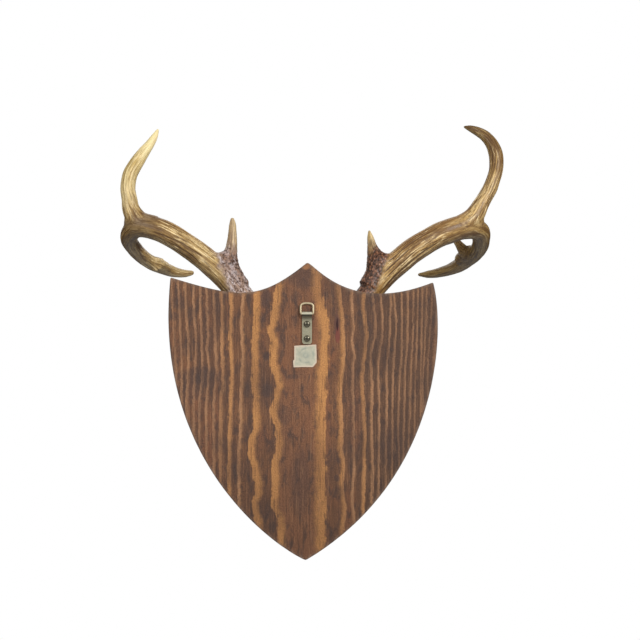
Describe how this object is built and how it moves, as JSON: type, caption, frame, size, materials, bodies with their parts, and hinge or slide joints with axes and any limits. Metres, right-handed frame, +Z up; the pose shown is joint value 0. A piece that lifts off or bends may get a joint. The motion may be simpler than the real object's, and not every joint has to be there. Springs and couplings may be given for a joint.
{
  "type": "antler mounting plaque",
  "caption": "Shield-shaped stained wood plaque that carries a pair of deer antlers, with a strap hanger and swinging D-ring on its back.",
  "frame": {"origin": "the hanging point: under the bow of the D-ring, in the plane of the board's back", "axes": "+Z up, +Y out of the board's back towards the wall, +X to the left antler; the antlers stand out towards -Y"},
  "size_m": [0.4316, 0.2376, 0.4761],
  "materials": {
    "stained_pine": "dark oil stain with light growth lines, satin",
    "brown_leather": "plain, matt",
    "antler": "natural antler bone, brown grooves, semi-gloss",
    "aged_steel_sheet": "aged, dull",
    "aged_brass_wire": "aged, satin",
    "dark_steel": "dark, semi-gloss",
    "masking_tape": "matt, yellowed"
  },
  "bodies": {
    "plaque": {"shield_board": "stained_pine", "skull_cap": "brown_leather", "antler_left": "antler", "antler_right": "antler", "hanger_strap": "aged_steel_sheet", "screw_upper": "dark_steel", "screw_lower": "dark_steel", "tape_patch": "masking_tape"},
    "ring": {"hanger_ring": "aged_brass_wire"}
  },
  "joints": [
    {"name": "ring_swing", "type": "hinge", "parent": "plaque", "child": "ring", "pos_m": [0, 0.00255, -0.01006], "axis": [-1, 0, 0], "range_deg": [0, 165]}
  ]
}
